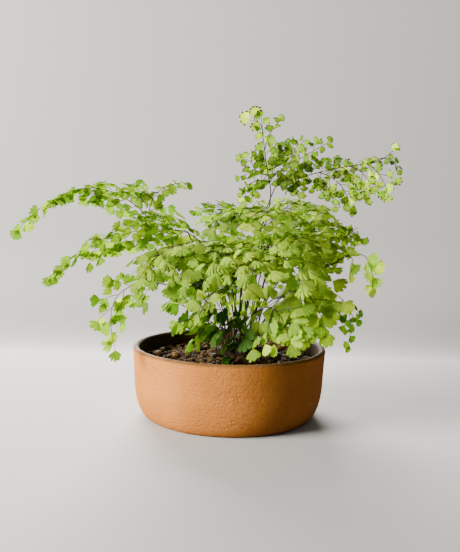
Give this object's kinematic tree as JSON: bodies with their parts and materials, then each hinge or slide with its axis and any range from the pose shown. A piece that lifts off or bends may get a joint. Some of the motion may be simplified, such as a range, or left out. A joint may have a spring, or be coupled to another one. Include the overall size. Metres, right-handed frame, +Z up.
{
  "type": "potted maidenhair fern",
  "caption": "Potted maidenhair fern: wiry dark stalks arch out of a shallow round terracotta bowl and carry layers of small fan shaped leaflets over a coarse granular mix",
  "frame": {"origin": "middle of the bowl's foot, on the surface that it stands on", "axes": "+Z up, +X to the right and +Y to the back as seen from the front"},
  "size_m": [0.2996, 0.2398, 0.2359],
  "materials": {
    "terracotta": "unglazed, finely ribbed and grained",
    "frond_green": "thin soft leaflet, slightly see-through, on black stalks",
    "planting_mix": "dark moist crumb",
    "granule_clay": "rough baked clay",
    "rhizome": "rough and scaly",
    "net_plastic": "moulded"
  },
  "bodies": {
    "root": {"drainage_net": "net_plastic", "frond_back_far_right": "frond_green", "frond_back_left": "frond_green", "frond_back_low_left": "frond_green", "frond_back_low_mid": "frond_green", "frond_back_low_right": "frond_green", "frond_back_mid": "frond_green", "frond_back_right": "frond_green", "frond_centre_front": "frond_green", "frond_centre_left": "frond_green", "frond_centre_right": "frond_green", "frond_crest_back_left": "frond_green", "frond_crest_front": "frond_green", "frond_crest_front_right": "frond_green", "frond_crest_left": "frond_green", "frond_crest_right": "frond_green", "frond_crest_right_back": "frond_green", "frond_dark_left": "frond_green", "frond_left_crest": "frond_green", "frond_left_drape": "frond_green", "frond_left_fore": "frond_green", "frond_left_hang": "frond_green", "frond_left_high": "frond_green", "frond_left_inner": "frond_green", "frond_left_low": "frond_green", "frond_left_mid": "frond_green", "frond_low_front": "frond_green", "frond_low_left": "frond_green", "frond_low_right": "frond_green", "frond_right_low": "frond_green", "frond_right_mid": "frond_green", "frond_right_pale": "frond_green", "frond_rim_front": "frond_green", "frond_rim_right": "frond_green", "frond_top_high": "frond_green", "frond_top_right": "frond_green", "granule_01": "granule_clay", "granule_02": "granule_clay", "granule_03": "granule_clay", "granule_04": "granule_clay", "granule_05": "granule_clay", "granule_06": "granule_clay", "granule_07": "granule_clay", "granule_08": "granule_clay", "granule_09": "granule_clay", "granule_10": "granule_clay", "granule_11": "granule_clay", "granule_12": "granule_clay", "granule_13": "granule_clay", "granule_14": "granule_clay", "granule_15": "granule_clay", "granule_16": "granule_clay", "granule_17": "granule_clay", "granule_18": "granule_clay", "granule_19": "granule_clay", "granule_20": "granule_clay", "pot": "terracotta", "potting_mix": "planting_mix", "rhizome": "rhizome"}
  },
  "joints": []
}
